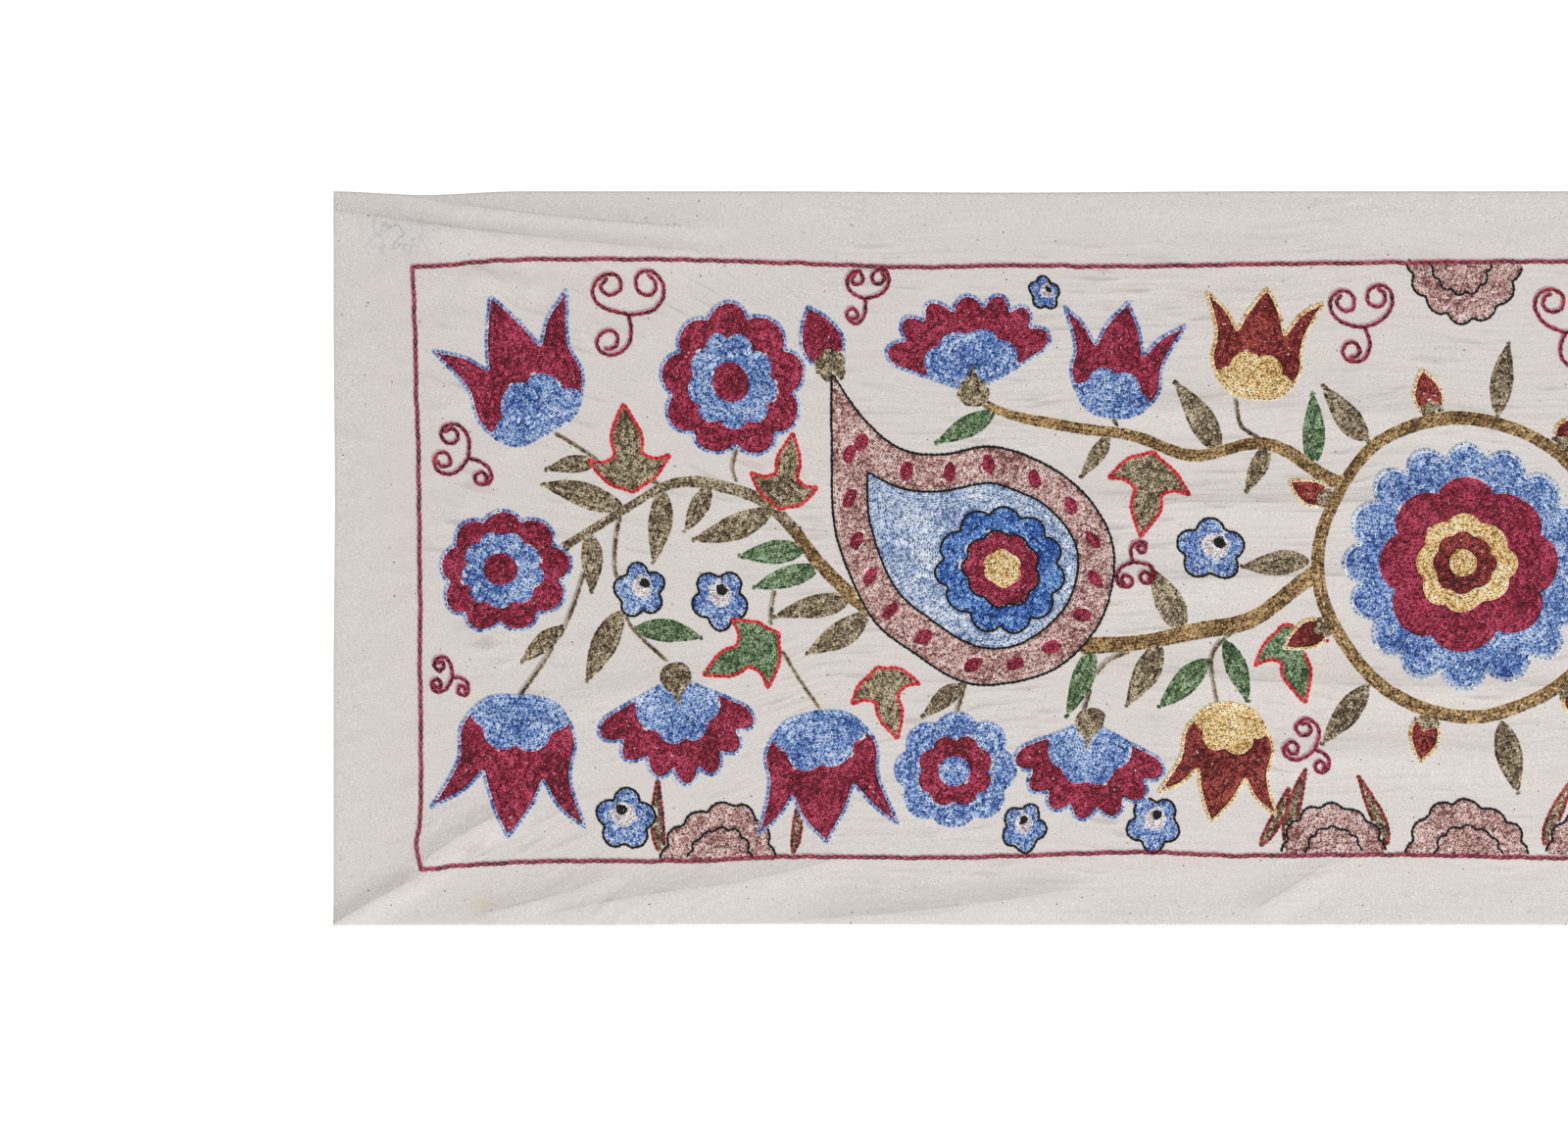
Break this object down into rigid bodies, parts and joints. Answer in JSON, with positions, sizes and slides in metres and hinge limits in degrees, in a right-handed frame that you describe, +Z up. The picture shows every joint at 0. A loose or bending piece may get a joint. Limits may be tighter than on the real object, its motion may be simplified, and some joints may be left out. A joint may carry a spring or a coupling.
{
  "type": "suzani embroidered textile",
  "caption": "Long cotton runner laid flat, embroidered in silk chain stitch with flowers, leaves and tendrils inside a plain crimson line.",
  "frame": {"origin": "on the surface that carries the cloth, under the middle of the cloth", "axes": "+X along the length, +Y across the width towards the edge that is uppermost when the cloth is shown face on, +Z up, out of the embroidered face"},
  "size_m": [1.4804, 0.4809, 0.0061],
  "materials": {
    "cotton": "matte",
    "silk_crimson": "satin",
    "silk_red": "satin",
    "silk_light_blue": "satin",
    "silk_deep_blue": "satin",
    "silk_pale_blue": "satin",
    "silk_rose": "satin",
    "silk_black": "satin",
    "silk_olive": "satin",
    "silk_green": "satin",
    "silk_brown": "satin",
    "silk_dark_red": "satin",
    "silk_gold": "satin",
    "silk_white": "satin"
  },
  "bodies": {
    "root": {"ground_cloth": "cotton"}
  },
  "joints": []
}
